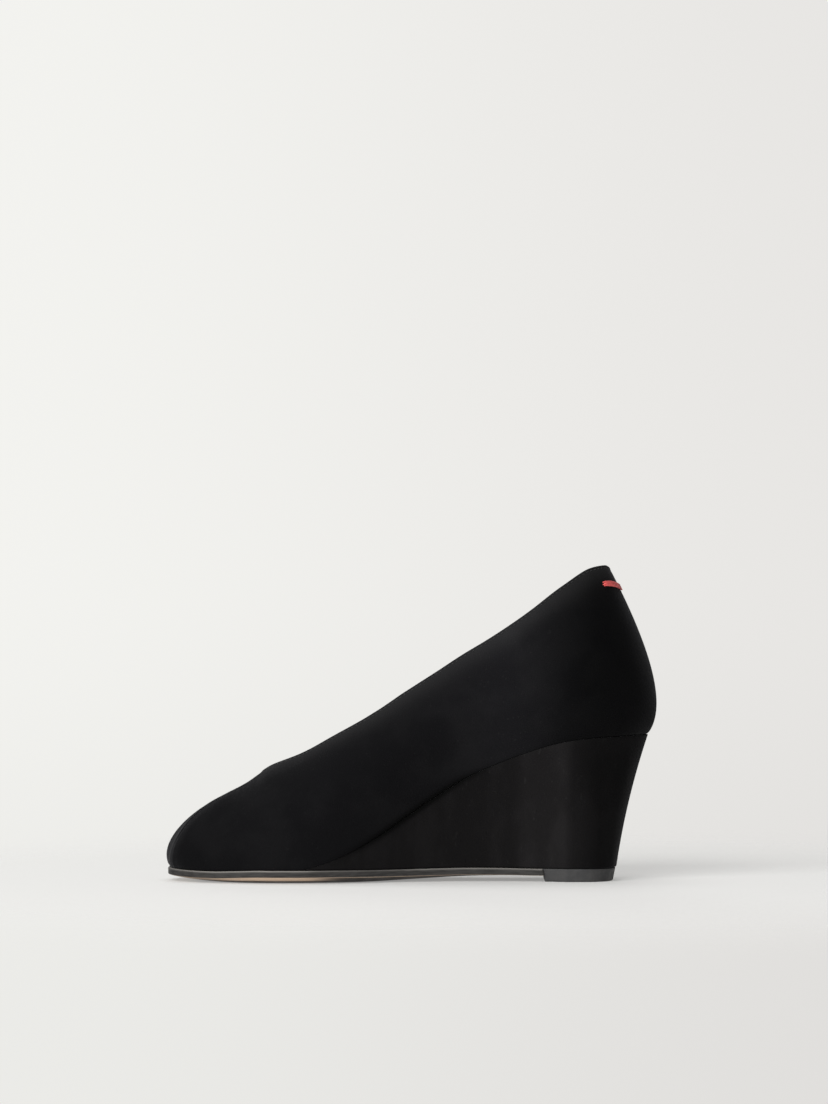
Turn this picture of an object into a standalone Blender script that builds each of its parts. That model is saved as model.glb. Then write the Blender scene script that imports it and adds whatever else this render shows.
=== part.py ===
# A woman's wedge pump, right foot: hollow upper, insole, covered wedge, outsole and top piece.
# Metres. +X points to the toe, +Y to the inner (medial) side of the foot, +Z up.
# The origin is the middle of the top piece's ground face, on the floor.
from collections import namedtuple

import bmesh
import bpy
import numpy as np

# Driving sizes
LENGTH = 0.2347  # back of the heel to the tip of the toe, level, with the shoe standing
BALL_WIDTH = 0.076  # the joints, across the bottom of the last
HEEL_HEIGHT = 0.070  # floor to the foot of the upper at the back seam
UPPER_HEIGHT = 0.0789  # the back seam, from its foot to the topline, upright
LATERAL_DROP = 0.0022  # the topline is this much lower on the outer side
WALL = 0.0016  # upper with its lining
INSOLE_THICKNESS = 0.0020  # board with its sock
SOLE_THICKNESS = 0.0033  # leather outsole
SOLE_MARGIN = 0.0006  # the outsole stands out this much beyond the upper and the wedge
SOLE_CAMBER = 0.0030  # the sole's edge above its middle at the ball
TOE_SPRING = 0.0030  # the sole's tip above the floor
SEAT_CUP = 0.0015  # the heel seat's edge above its middle
TOP_PIECE_HEIGHT = 0.0062
TOP_PIECE_INSET = 0.0005  # inside the wedge's own edge
TOP_PIECE_TAPER = 0.0012  # the ground face is this much smaller all round
WEDGE_TIP = 0.0004  # thickness left at the wedge's feathered front end
WEDGE_HOLLOW = 0.0015  # the wedge's sides are drawn in this much at half their height
GAP = 0.0003  # glue line between pieces

# Facets: up the wall, across a slab and up the wedge's side
WALL_STEPS = 11
ACROSS_STEPS = 8
WEDGE_STEPS = 3

# Stations run round each side of the shoe from the back seam to the tip of the toe.
# foot: where the wall of the upper ends, on the edge of the last's bottom.
# tread: the edge of the wedge's underside and, further forward, of the sole.
# along is a share of LENGTH from the back of the heel, medial and lateral are shares of
# BALL_WIDTH from the centre line, and lead sets the lateral point forward of the medial one.
# cuts: facets from here to the next station.
Outline = namedtuple(
    "Outline",
    "along medial lateral lead tread_along tread_medial tread_lateral cuts",
)
OUTLINES = (
    Outline(0.0167, 0.000, 0.000, 0, 0.0812, 0.000, 0.000, 4),  # back seam
    Outline(0.0430, 0.178, 0.178, 0, 0.0930, 0.158, 0.158, 4),
    Outline(0.0940, 0.274, 0.280, 0, 0.1260, 0.245, 0.245, 4),
    Outline(0.1640, 0.313, 0.326, 0, 0.1770, 0.258, 0.268, 3),  # heel seat
    Outline(0.2360, 0.311, 0.350, 0, 0.2341, 0.211, 0.266, 3),  # breast of the top piece
    Outline(0.3310, 0.271, 0.358, 0, 0.3310, 0.184, 0.270, 4),
    Outline(0.4290, 0.247, 0.379, 0, 0.4290, 0.197, 0.316, 4),  # waist
    Outline(0.5190, 0.287, 0.424, 0, 0.5190, 0.263, 0.395, 4),
    Outline(0.6040, 0.376, 0.479, 0, 0.6040, 0.374, 0.474, 3),
    Outline(0.6770, 0.440, 0.512, 0, 0.6770, 0.440, 0.512, 2),  # outer joint
    Outline(0.7330, 0.468, 0.517, 0, 0.7330, 0.468, 0.517, 2),
    Outline(0.7710, 0.468, 0.503, 0, 0.7710, 0.468, 0.503, 2),  # inner joint
    Outline(0.8050, 0.449, 0.479, 0, 0.8050, 0.449, 0.479, 3),  # throat
    Outline(0.8520, 0.404, 0.438, 0.002, 0.8520, 0.404, 0.438, 3),
    Outline(0.9000, 0.346, 0.370, 0.007, 0.9000, 0.346, 0.370, 4),
    Outline(0.9440, 0.262, 0.248, 0.016, 0.9440, 0.262, 0.248, 4),
    Outline(0.9705, 0.180, 0.072, 0.021, 0.9705, 0.180, 0.072, 4),
    Outline(0.9860, 0.085, -0.085, 0, 0.9860, 0.085, -0.085, 1),  # centre seam at the toe
)

# The wall at each station is a cubic curve from its foot to its top.
# top: on the topline back to the throat, then on the centre seam. Along and across as above,
# height is a share of UPPER_HEIGHT above the foot, and low is a share of LATERAL_DROP.
# flare: the first handle reaches this share of BALL_WIDTH outwards and rise of the height up.
# crown: the last handle reaches this share of BALL_WIDTH outwards, drop of the height down,
# and falls by slope for each unit that it reaches forward.
Wall = namedtuple(
    "Wall",
    "along medial lateral height low flare_medial flare_lateral rise crown_medial crown_lateral"
    " drop slope",
)
WALLS = (
    Wall(0.0953, 0.000, 0.000, 1.002, 0.0, 0.132, 0.132, 0.165, 0.253, 0.253, 0.465, 0),
    Wall(0.1076, 0.118, 0.118, 1.024, 0.1, 0.134, 0.134, 0.165, 0.237, 0.237, 0.460, 0),
    Wall(0.1410, 0.213, 0.213, 1.009, 0.4, 0.138, 0.138, 0.170, 0.217, 0.217, 0.460, 0),
    Wall(0.1944, 0.276, 0.280, 0.924, 0.8, 0.118, 0.112, 0.190, 0.164, 0.164, 0.470, 0),
    Wall(0.2563, 0.311, 0.320, 0.831, 1.0, 0.118, 0.099, 0.200, 0.125, 0.125, 0.460, 0),
    Wall(0.3480, 0.318, 0.339, 0.749, 1.0, 0.158, 0.099, 0.170, 0.118, 0.105, 0.400, 0),
    Wall(0.4400, 0.295, 0.324, 0.731, 1.0, 0.204, 0.112, 0.170, 0.171, 0.171, 0.360, 0),
    Wall(0.5275, 0.239, 0.266, 0.742, 0.9, 0.191, 0.099, 0.210, 0.217, 0.230, 0.280, 0),
    Wall(0.6087, 0.179, 0.200, 0.748, 0.7, 0.125, 0.072, 0.290, 0.250, 0.276, 0.235, 0),
    Wall(0.6792, 0.118, 0.132, 0.722, 0.4, 0.086, 0.055, 0.350, 0.276, 0.296, 0.210, 0),
    Wall(0.7347, 0.066, 0.072, 0.671, 0.2, 0.066, 0.050, 0.380, 0.289, 0.303, 0.190, 0),
    Wall(0.7838, 0.021, 0.024, 0.611, 0.0, 0.057, 0.047, 0.385, 0.293, 0.293, 0.160, 0),
    Wall(0.8061, 0.007, -0.007, 0.565, 0.0, 0.053, 0.053, 0.390, 0.289, 0.289, 0.130, 0.62),
    Wall(0.8270, 0.013, -0.013, 0.524, 0.0, 0.055, 0.055, 0.390, 0.270, 0.270, 0.085, 0.56),
    Wall(0.8440, 0.020, -0.020, 0.497, 0.0, 0.063, 0.063, 0.375, 0.250, 0.250, 0.040, 0.50),
    Wall(0.8580, 0.028, -0.028, 0.472, 0.0, 0.079, 0.079, 0.345, 0.235, 0.240, 0.010, 0.44),
    Wall(0.8680, 0.033, -0.033, 0.449, 0.0, 0.090, 0.090, 0.320, 0.216, 0.246, 0.000, 0.40),
    Wall(0.8740, 0.037, -0.037, 0.437, 0.0, 0.060, 0.060, 0.306, 0.205, 0.205, 0.000, 0.377),
)
BREAST = 4  # station of the top piece's front
THROAT = 12  # station of the bottom of the V

# Heights of the bottom along the shoe: station as a share of LENGTH, then
# seat: share of the way from the sole's top up to the heel seat,
# waist: share of the way from the sole's thickness up to the top piece's height,
# spring: share of TOE_SPRING, camber: share of SOLE_CAMBER, cup: share of SEAT_CUP.
Level = namedtuple("Level", "along seat waist spring camber cup")
LEVELS = (
    Level(0.0000, 1.000, 1.00, 0.00, 0.00, 0.00),
    Level(0.0167, 1.000, 1.00, 0.00, 0.00, 0.00),
    Level(0.0420, 0.996, 1.00, 0.00, 0.00, 0.60),
    Level(0.0700, 0.991, 1.00, 0.00, 0.00, 1.00),
    Level(0.1170, 0.982, 1.00, 0.00, 0.00, 1.00),
    Level(0.1980, 0.943, 1.00, 0.00, 0.00, 1.00),
    Level(0.2370, 0.904, 1.00, 0.00, 0.00, 0.95),
    Level(0.3180, 0.792, 0.98, 0.00, 0.12, 0.80),
    Level(0.3780, 0.692, 0.88, 0.00, 0.25, 0.60),
    Level(0.4380, 0.561, 0.66, 0.00, 0.40, 0.40),
    Level(0.5000, 0.410, 0.38, 0.00, 0.60, 0.20),
    Level(0.5600, 0.258, 0.15, 0.00, 0.80, 0.10),
    Level(0.6200, 0.129, 0.03, 0.00, 0.95, 0.00),
    Level(0.6600, 0.066, 0.00, 0.00, 1.00, 0.00),
    Level(0.7050, 0.014, 0.00, 0.00, 1.00, 0.00),
    Level(0.7400, 0.000, 0.00, 0.00, 1.00, 0.00),
    Level(0.8000, 0.000, 0.00, 0.00, 1.00, 0.00),
    Level(0.8500, 0.000, 0.00, 0.03, 0.85, 0.00),
    Level(0.9000, 0.000, 0.00, 0.20, 0.56, 0.00),
    Level(0.9500, 0.000, 0.00, 0.58, 0.24, 0.00),
    Level(0.9900, 0.000, 0.00, 1.00, 0.00, 0.00),
)
FLAT_SHARE = 0.68  # of the half width, flat in the middle before the camber starts

COLLECTION = "wedge_pump"
WELD = 0.00001  # points closer than this are one
SHARP_ANGLE = 0.6  # radians; edges folded more than this stay sharp

# Materials: colour, roughness
SUEDE = ("suede", (0.012, 0.012, 0.013), 0.95)
COVER = ("wedge_suede", (0.014, 0.013, 0.013), 0.95)
LINING = ("lining", (0.030, 0.028, 0.027), 0.55)
SOLE_LEATHER = ("sole_leather", (0.55, 0.38, 0.26), 0.50)
RUBBER = ("rubber", (0.050, 0.050, 0.050), 0.60)


def smooth(knots, values, at):
    # Cubic through all rows of values; the slope at a row is that of the parabola through it
    # and its neighbours, none where a value turns back or stays level, and at an end row that
    # of the chord.
    knots = np.asarray(knots, float)
    values = np.asarray(values, float)
    steps = np.diff(knots)
    chords = np.diff(values, axis=0) / steps[:, None]
    slopes = np.vstack([chords[:1], np.zeros_like(values[1:-1]), chords[-1:]])
    before, after = steps[:-1, None], steps[1:, None]
    slopes[1:-1] = (chords[:-1] * after + chords[1:] * before) / (before + after)
    slopes[1:-1] *= chords[:-1] * chords[1:] > 0
    row = np.clip(np.searchsorted(knots, at, side="right") - 1, 0, len(steps) - 1)
    width = steps[row][:, None]
    t = ((at - knots[row]) / steps[row])[:, None]
    step = values[row + 1] - values[row]
    ease = t * t * (3 - 2 * t)
    lean = slopes[row] * t * (1 - t) ** 2 - slopes[row + 1] * t * t * (1 - t)
    return values[row] + step * ease + width * lean


def level(name, along):
    # One column of LEVELS at any shares of the length
    rows = [row.along for row in LEVELS]
    column = [[getattr(row, name)] for row in LEVELS]
    shape = np.shape(along)
    at = np.clip(np.ravel(along), rows[0], rows[-1])
    return smooth(rows, column, at)[:, 0].reshape(shape)


def camber_share(across):
    # 0 in the flat middle of the sole, 1 at its edge; across is -1 to 1
    past = np.clip((np.abs(across) - FLAT_SHARE) / (1 - FLAT_SHARE), 0, None)
    return past**2


def sole_top(along, across):
    # Height of the outsole's upper face, which is also the level of the top piece's top
    middle = SOLE_THICKNESS + (TOP_PIECE_HEIGHT - SOLE_THICKNESS) * level("waist", along)
    sprung = middle + TOE_SPRING * level("spring", along)
    return sprung + SOLE_CAMBER * level("camber", along) * camber_share(across)


def ground(along, across):
    # Height of the floor
    return np.zeros(np.shape(along))


def last_bottom(along, across):
    # Height of the bottom of the last, on which insole and upper stand
    climb = (HEEL_HEIGHT - TOP_PIECE_HEIGHT - GAP) * level("seat", along)
    cup = SEAT_CUP * level("cup", along) * (1 - camber_share(across))
    return sole_top(along, across) + GAP + climb - cup


def across_scale(side):
    return BALL_WIDTH if side == "medial" else -BALL_WIDTH


def foot_points(side):
    # Foot of the wall at each station, in plan
    lateral = side == "lateral"
    along = np.array([row.along + lateral * row.lead for row in OUTLINES])
    across = np.array([getattr(row, side) for row in OUTLINES])
    return np.column_stack([along * LENGTH, across * across_scale(side)])


def tread_points(side):
    # Edge of the tread at each station, in plan
    lateral = side == "lateral"
    along = np.array([row.tread_along + lateral * row.lead for row in OUTLINES])
    across = np.array([getattr(row, "tread_" + side) for row in OUTLINES])
    return np.column_stack([along * LENGTH, across * across_scale(side)])


def with_neighbours(rows, other):
    # Rows of one side, with the other side's second and last but one row at its ends
    return np.vstack([other[1], rows, other[-2]])


def station_knots():
    # Distance round the foot of the upper to each station, the mean of both sides,
    # with one more knot beyond each end
    feet = (foot_points("medial")[:, :2], foot_points("lateral")[:, :2])
    steps = sum(np.linalg.norm(np.diff(side, axis=0), axis=1) for side in feet) / 2
    knots = np.concatenate([[0], np.cumsum(steps)])
    return np.concatenate([[-steps[0]], knots, [knots[-1] + steps[-1]]])


def dense_knots(first=0, last=len(OUTLINES) - 1):
    # Every span cut into its facets, from one station to another, which may be a fraction
    stations = [k + cut / row.cuts for k, row in enumerate(OUTLINES) for cut in range(row.cuts)]
    inside = [station for station in stations if first < station < last]
    knots = station_knots()[1:-1]
    return np.interp([first, *inside, last], np.arange(len(knots)), knots)


def refine(rows, other, at):
    # Rows at the stations to rows at any knots, smooth across both ends
    return smooth(station_knots(), with_neighbours(rows, other), at)


def refine_with_break(rows, other):
    # The same for the tops of the wall, with a corner at the throat
    knots = station_knots()
    full = with_neighbours(rows, other)
    dense = dense_knots()
    corner = THROAT + 1
    behind = dense <= knots[corner]
    back = smooth(knots[: corner + 1], full[: corner + 1], dense[behind])
    front = smooth(knots[corner:], full[corner:], dense[~behind])
    return np.vstack([back, front])


def outward(points, other):
    # Unit normals of a closed outline in plan, at the rows of one side
    full = with_neighbours(points, other)
    run = full[2:] - full[:-2]
    normal = np.column_stack([-run[:, 1], run[:, 0]])
    normal /= np.linalg.norm(normal, axis=1)[:, None]
    turned = np.sign(np.sum(normal * (points - [LENGTH / 2, 0]), axis=1))
    return normal * turned[:, None]


def wall_controls(side):
    # The four control points of the wall's curve at each station, heights above its foot
    other = "lateral" if side == "medial" else "medial"
    normal = outward(foot_points(side), foot_points(other))
    column = {name: np.array([getattr(row, name) for row in WALLS]) for name in Wall._fields}
    height = column["height"] * UPPER_HEIGHT
    if side == "lateral":
        height = height - column["low"] * LATERAL_DROP
    foot = np.column_stack([foot_points(side), 0 * height])
    top = np.column_stack([column["along"] * LENGTH, column[side] * across_scale(side), height])
    flare = column["flare_" + side] * BALL_WIDTH
    crown = column["crown_" + side] * BALL_WIDTH
    first = foot + np.column_stack([normal * flare[:, None], column["rise"] * height])
    fall = column["drop"] * height + column["slope"] * crown * normal[:, 0]
    last = top + np.column_stack([normal * crown[:, None], -fall])
    return foot, first, last, top


def wall_surface(side):
    # Grid of points: rows round the side, columns from foot to top
    other = "lateral" if side == "medial" else "medial"
    own, opposite = wall_controls(side), wall_controls(other)
    foot = refine(own[0], opposite[0], dense_knots())
    first = refine(own[1], opposite[1], dense_knots())
    last = refine_with_break(own[2], opposite[2])
    top = refine_with_break(own[3], opposite[3])
    # Heights are above the foot; those of the top are above the medial foot on both sides
    medial_foot = edges_of(foot_points, dense_knots(), 0)["medial"]
    for points, base in ((foot, foot), (first, foot), (last, medial_foot), (top, medial_foot)):
        points[:, 2] += last_bottom(base[:, 0] / LENGTH, np.ones(len(base)))
    t = np.linspace(0, 1, WALL_STEPS + 1)[None, :, None]
    foot, first, last, top = (points[:, None, :] for points in (foot, first, last, top))
    rising = foot * (1 - t) ** 3 + first * 3 * t * (1 - t) ** 2
    return rising + last * 3 * t**2 * (1 - t) + top * t**3


def edges_of(outline, at, margin):
    # Both edges of an outline at some knots, in plan, set out by one margin or one a station
    margin = np.reshape(margin, (-1, 1))
    medial, lateral = outline("medial"), outline("lateral")
    moved_medial = medial + outward(medial, lateral) * margin
    moved_lateral = lateral + outward(lateral, medial) * margin
    return {
        "medial": refine(moved_medial, moved_lateral, at),
        "lateral": refine(moved_lateral, moved_medial, at),
    }


def across_sheet(edges, height):
    # Grid between two edges: rows along the shoe, columns from the lateral to the medial edge.
    # Where the edges meet, the row is one point.
    medial, lateral = edges["medial"][:, None, :], edges["lateral"][:, None, :]
    share = np.sin(np.linspace(-np.pi / 2, np.pi / 2, ACROSS_STEPS + 1))
    mix = (share[None, :, None] + 1) / 2
    plan = lateral * (1 - mix) + medial * mix
    met = np.linalg.norm(medial - lateral, axis=2) < WELD
    z = height(plan[:, :, 0] / LENGTH, np.where(met, 1, share))
    return np.dstack([plan, z])


def end_faces(bm, ring, steps):
    # Close the end of a slab with a strip from sheet to sheet and one face at each side
    columns = ACROSS_STEPS + 1
    first, second = ring[:columns], ring[columns + steps : 2 * columns + steps][::-1]
    for k in range(ACROSS_STEPS):
        bm.faces.new((first[k], first[k + 1], second[k + 1], second[k]))
    if steps:
        bm.faces.new((first[-1], *ring[columns : columns + steps], second[-1]))
        bm.faces.new((second[0], *ring[2 * columns + steps :], first[0]))


def slab(name, first, second, material, sides=(), close_first=False, close_last=False):
    # Solid between two sheets; sides are the edges between them, from the first to the second.
    # The first sheet's facets are cut along one diagonal and the second's along the other, so
    # where two slabs lie against each other, both have their first sheets or both their second.
    bm = bmesh.new()
    rings = []
    for k in range(len(first)):
        medial = [side["medial"][k] for side in sides]
        lateral = [side["lateral"][k] for side in reversed(sides)]
        points = [*first[k], *medial, *second[k][::-1], *lateral]
        rings.append([bm.verts.new(point) for point in points])
    count = len(rings[0])
    for near, far in zip(rings, rings[1:]):
        for k in range(count):
            bm.faces.new((near[k], near[(k + 1) % count], far[(k + 1) % count], far[k]))
    if close_first:
        end_faces(bm, rings[0], len(sides))
    if close_last:
        end_faces(bm, rings[-1], len(sides))
    return add_piece(name, bm, material)


def add_piece(name, bm, material):
    # Weld, turn the faces out, shift to the part's origin and link
    bmesh.ops.remove_doubles(bm, verts=bm.verts, dist=WELD)
    bmesh.ops.dissolve_degenerate(bm, edges=bm.edges, dist=WELD)
    bmesh.ops.recalc_face_normals(bm, faces=bm.faces)
    if bm.calc_volume(signed=True) < 0:
        bmesh.ops.reverse_faces(bm, faces=bm.faces)
    bmesh.ops.translate(bm, verts=bm.verts, vec=(-top_piece_middle(), 0, 0))
    mesh = bpy.data.meshes.new(name)
    bm.to_mesh(mesh)
    bm.free()
    mesh.shade_smooth()
    mesh.set_sharp_from_angle(angle=SHARP_ANGLE)
    mesh.materials.append(material)
    piece = bpy.data.objects.new(name, mesh)
    bpy.data.collections[COLLECTION].objects.link(piece)
    return piece


def make_material(name, colour, roughness):
    material = bpy.data.materials.new(name)
    material.use_nodes = True
    shader = material.node_tree.nodes["Principled BSDF"]
    shader.inputs["Base Color"].default_value = (*colour, 1)
    shader.inputs["Roughness"].default_value = roughness
    shader.inputs["Metallic"].default_value = 0
    return material


def make_upper():
    bm = bmesh.new()
    for side in ("medial", "lateral"):
        grid = wall_surface(side)
        verts = [[bm.verts.new(point) for point in row] for row in grid]
        for near, far in zip(verts, verts[1:]):
            for k in range(WALL_STEPS):
                bm.faces.new((near[k], near[k + 1], far[k + 1], far[k]))
    upper = add_piece("upper", bm, make_material(*SUEDE))
    wall = upper.modifiers.new("wall", "SOLIDIFY")
    wall.thickness = WALL
    wall.offset = -1
    wall.use_even_offset = True


def make_insole():
    # Inside the wall, on the bottom of the last
    edges = edges_of(foot_points, dense_knots(), -(WALL + GAP))
    bottom = across_sheet(edges, last_bottom)
    top = bottom + [0, 0, INSOLE_THICKNESS]
    slab("insole", bottom, top, make_material(*LINING))


def wedge_end():
    # Station, as a fraction, where the wedge is down to its tip
    knots = station_knots()[1:-1]
    fine = np.linspace(BREAST, THROAT, 50 * (THROAT - BREAST) + 1)
    edges = edges_of(foot_points, np.interp(fine, np.arange(len(knots)), knots), 0)
    along = edges["medial"][:, 0] / LENGTH
    thickness = last_bottom(along, 0 * along) - sole_top(along, 0 * along) - 2 * GAP
    return fine[np.argmax(thickness < WEDGE_TIP)]


def wedge_sides(at, top, bottom):
    # Edges between the wedge's top and its tread, drawn in towards the middle of its height
    seat = level("seat", [row.along for row in OUTLINES])
    sides = []
    for step in range(1, WEDGE_STEPS):
        t = step / WEDGE_STEPS
        inset = -WEDGE_HOLLOW * 4 * t * (1 - t) * seat
        upper, lower = edges_of(foot_points, at, inset), edges_of(tread_points, at, inset)
        side = {}
        for name, column in (("medial", -1), ("lateral", 0)):
            plan = upper[name] * (1 - t) + lower[name] * t
            height = top[:, column, 2] * (1 - t) + bottom[:, column, 2] * t
            side[name] = np.column_stack([plan, height])
        sides.append(side)
    return sides


def make_wedge():
    at = dense_knots(0, wedge_end())
    top = across_sheet(edges_of(foot_points, at, 0), last_bottom) - [0, 0, GAP]
    bottom = across_sheet(edges_of(tread_points, at, 0), sole_top) + [0, 0, GAP]
    sides = wedge_sides(at, top, bottom)
    slab("wedge", top, bottom, make_material(*COVER), sides, close_last=True)


def make_outsole():
    at = dense_knots(BREAST)
    top = across_sheet(edges_of(tread_points, at, SOLE_MARGIN), sole_top)
    bottom = top - [0, 0, SOLE_THICKNESS]
    slab("outsole", bottom, top, make_material(*SOLE_LEATHER), close_first=True)


def top_piece_edges(margin):
    # Tread edges from the back to just behind the outsole
    edges = edges_of(tread_points, dense_knots(0, BREAST), -margin)
    front = OUTLINES[BREAST].tread_along * LENGTH - GAP - (margin - TOP_PIECE_INSET)
    for edge in edges.values():
        edge[-1, 0] = front
    return edges


def top_piece_middle():
    edge = top_piece_edges(TOP_PIECE_INSET + TOP_PIECE_TAPER)["medial"]
    return (edge[0, 0] + edge[-1, 0]) / 2


def make_top_piece():
    top = across_sheet(top_piece_edges(TOP_PIECE_INSET), ground) + [0, 0, TOP_PIECE_HEIGHT]
    bottom = across_sheet(top_piece_edges(TOP_PIECE_INSET + TOP_PIECE_TAPER), ground)
    slab("top_piece", top, bottom, make_material(*RUBBER), close_last=True)


def main():
    for old in list(bpy.data.objects):
        bpy.data.objects.remove(old)
    collection = bpy.data.collections.new(COLLECTION)
    bpy.context.scene.collection.children.link(collection)
    make_upper()
    make_insole()
    make_wedge()
    make_outsole()
    make_top_piece()


main()
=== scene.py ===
# Wedge pump in black suede: the finish of every surface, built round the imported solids.
# Lengths are metres. +X runs to the toe, +Y to the inner side of the foot, +Z up.
import math
import bmesh
import bpy
import numpy as np
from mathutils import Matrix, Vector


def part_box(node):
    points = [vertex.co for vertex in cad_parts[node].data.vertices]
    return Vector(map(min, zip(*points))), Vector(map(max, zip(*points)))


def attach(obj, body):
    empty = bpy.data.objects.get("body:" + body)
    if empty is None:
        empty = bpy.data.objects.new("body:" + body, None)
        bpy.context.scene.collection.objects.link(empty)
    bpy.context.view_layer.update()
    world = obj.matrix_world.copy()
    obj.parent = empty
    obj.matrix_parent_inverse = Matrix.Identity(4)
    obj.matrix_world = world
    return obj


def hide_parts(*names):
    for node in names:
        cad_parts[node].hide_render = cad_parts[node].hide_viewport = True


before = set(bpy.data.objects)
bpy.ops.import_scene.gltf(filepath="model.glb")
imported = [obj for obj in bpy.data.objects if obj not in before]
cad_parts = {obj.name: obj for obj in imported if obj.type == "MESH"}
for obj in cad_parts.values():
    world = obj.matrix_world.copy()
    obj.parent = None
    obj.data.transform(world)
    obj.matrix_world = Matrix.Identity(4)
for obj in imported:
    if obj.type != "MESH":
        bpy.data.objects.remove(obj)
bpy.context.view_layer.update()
print("frame loaded")


def table(names, rows):  # rows of numbers to a dictionary of named columns
    return dict(zip(names.split(), np.array(rows, float).T))


def unit(vectors):
    return vectors / np.maximum(np.linalg.norm(vectors, axis=-1, keepdims=True), 1e-12)


def eased(t):  # 0 to 1 with a level start and end
    return t * t * (3 - 2 * t)


sides = ("medial", "lateral")
signs = {"medial": 1, "lateral": -1}                    # of Y
nudge = {"plan": 0.0001, "round": 0.0002, "up": 0.002}  # slopes come from points this far apart


# The shoe's own sizes, the same as those of its solids
shoe = {
    "length": 0.2347,          # heel to toe, level
    "ballWidth": 0.076,
    "heelHeight": 0.070,
    "upperHeight": 0.0789,     # back seam
    "lateralDrop": 0.0022,     # the topline is lower on the outer side
    "soleThickness": 0.0033,
    "soleMargin": 0.0006,
    "soleCamber": 0.0030,
    "toeSpring": 0.0030,
    "seatCup": 0.0015,
    "topPieceHeight": 0.0062,
    "topPieceInset": 0.0005,
    "topPieceTaper": 0.0012,
    "wedgeHollow": 0.0015,
    "gap": 0.0003,             # glue line
    "flatShare": 0.68,         # of the half width, flat before the camber
    "breast": 4,               # station of the top piece's front
    "throat": 12,              # station of the bottom of the V
}

# Stations round each side from the back seam to the toe: foot of the wall and tread.
# along is a share of the length, medial and lateral are shares of the ball width.
outlines = table("along medial lateral lead treadAlong treadMedial treadLateral", [
    (0.0167, 0.000, 0.000, 0.000, 0.0812, 0.000, 0.000),
    (0.0430, 0.178, 0.178, 0.000, 0.0930, 0.158, 0.158),
    (0.0940, 0.274, 0.280, 0.000, 0.1260, 0.245, 0.245),
    (0.1640, 0.313, 0.326, 0.000, 0.1770, 0.258, 0.268),
    (0.2360, 0.311, 0.350, 0.000, 0.2341, 0.211, 0.266),
    (0.3310, 0.271, 0.358, 0.000, 0.3310, 0.184, 0.270),
    (0.4290, 0.247, 0.379, 0.000, 0.4290, 0.197, 0.316),
    (0.5190, 0.287, 0.424, 0.000, 0.5190, 0.263, 0.395),
    (0.6040, 0.376, 0.479, 0.000, 0.6040, 0.374, 0.474),
    (0.6770, 0.440, 0.512, 0.000, 0.6770, 0.440, 0.512),
    (0.7330, 0.468, 0.517, 0.000, 0.7330, 0.468, 0.517),
    (0.7710, 0.468, 0.503, 0.000, 0.7710, 0.468, 0.503),
    (0.8050, 0.449, 0.479, 0.000, 0.8050, 0.449, 0.479),
    (0.8520, 0.404, 0.438, 0.002, 0.8520, 0.404, 0.438),
    (0.9000, 0.346, 0.370, 0.007, 0.9000, 0.346, 0.370),
    (0.9440, 0.262, 0.248, 0.016, 0.9440, 0.262, 0.248),
    (0.9705, 0.180, 0.072, 0.021, 0.9705, 0.180, 0.072),
    (0.9860, 0.085, -0.085, 0.000, 0.9860, 0.085, -0.085),
])

# The wall at each station: its top, and the handles of its curve, as shares
walls = table("along medial lateral height low flareMedial flareLateral rise"
              " crownMedial crownLateral drop slope", [
    (0.0953, 0.000, 0.000, 1.002, 0.0, 0.132, 0.132, 0.165, 0.253, 0.253, 0.465, 0),
    (0.1076, 0.118, 0.118, 1.024, 0.1, 0.134, 0.134, 0.165, 0.237, 0.237, 0.460, 0),
    (0.1410, 0.213, 0.213, 1.009, 0.4, 0.138, 0.138, 0.170, 0.217, 0.217, 0.460, 0),
    (0.1944, 0.276, 0.280, 0.924, 0.8, 0.118, 0.112, 0.190, 0.164, 0.164, 0.470, 0),
    (0.2563, 0.311, 0.320, 0.831, 1.0, 0.118, 0.099, 0.200, 0.125, 0.125, 0.460, 0),
    (0.3480, 0.318, 0.339, 0.749, 1.0, 0.158, 0.099, 0.170, 0.118, 0.105, 0.400, 0),
    (0.4400, 0.295, 0.324, 0.731, 1.0, 0.204, 0.112, 0.170, 0.171, 0.171, 0.360, 0),
    (0.5275, 0.239, 0.266, 0.742, 0.9, 0.191, 0.099, 0.210, 0.217, 0.230, 0.280, 0),
    (0.6087, 0.179, 0.200, 0.748, 0.7, 0.125, 0.072, 0.290, 0.250, 0.276, 0.235, 0),
    (0.6792, 0.118, 0.132, 0.722, 0.4, 0.086, 0.055, 0.350, 0.276, 0.296, 0.210, 0),
    (0.7347, 0.066, 0.072, 0.671, 0.2, 0.066, 0.050, 0.380, 0.289, 0.303, 0.190, 0),
    (0.7838, 0.021, 0.024, 0.611, 0.0, 0.057, 0.047, 0.385, 0.293, 0.293, 0.160, 0),
    (0.8061, 0.007, -0.007, 0.565, 0.0, 0.053, 0.053, 0.390, 0.289, 0.289, 0.130, 0.62),
    (0.8270, 0.013, -0.013, 0.524, 0.0, 0.055, 0.055, 0.390, 0.270, 0.270, 0.085, 0.56),
    (0.8440, 0.020, -0.020, 0.497, 0.0, 0.063, 0.063, 0.375, 0.250, 0.250, 0.040, 0.50),
    (0.8580, 0.028, -0.028, 0.472, 0.0, 0.079, 0.079, 0.345, 0.235, 0.240, 0.010, 0.44),
    (0.8680, 0.033, -0.033, 0.449, 0.0, 0.090, 0.090, 0.320, 0.216, 0.246, 0.000, 0.40),
    (0.8740, 0.037, -0.037, 0.437, 0.0, 0.060, 0.060, 0.306, 0.205, 0.205, 0.000, 0.377),
])

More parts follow.
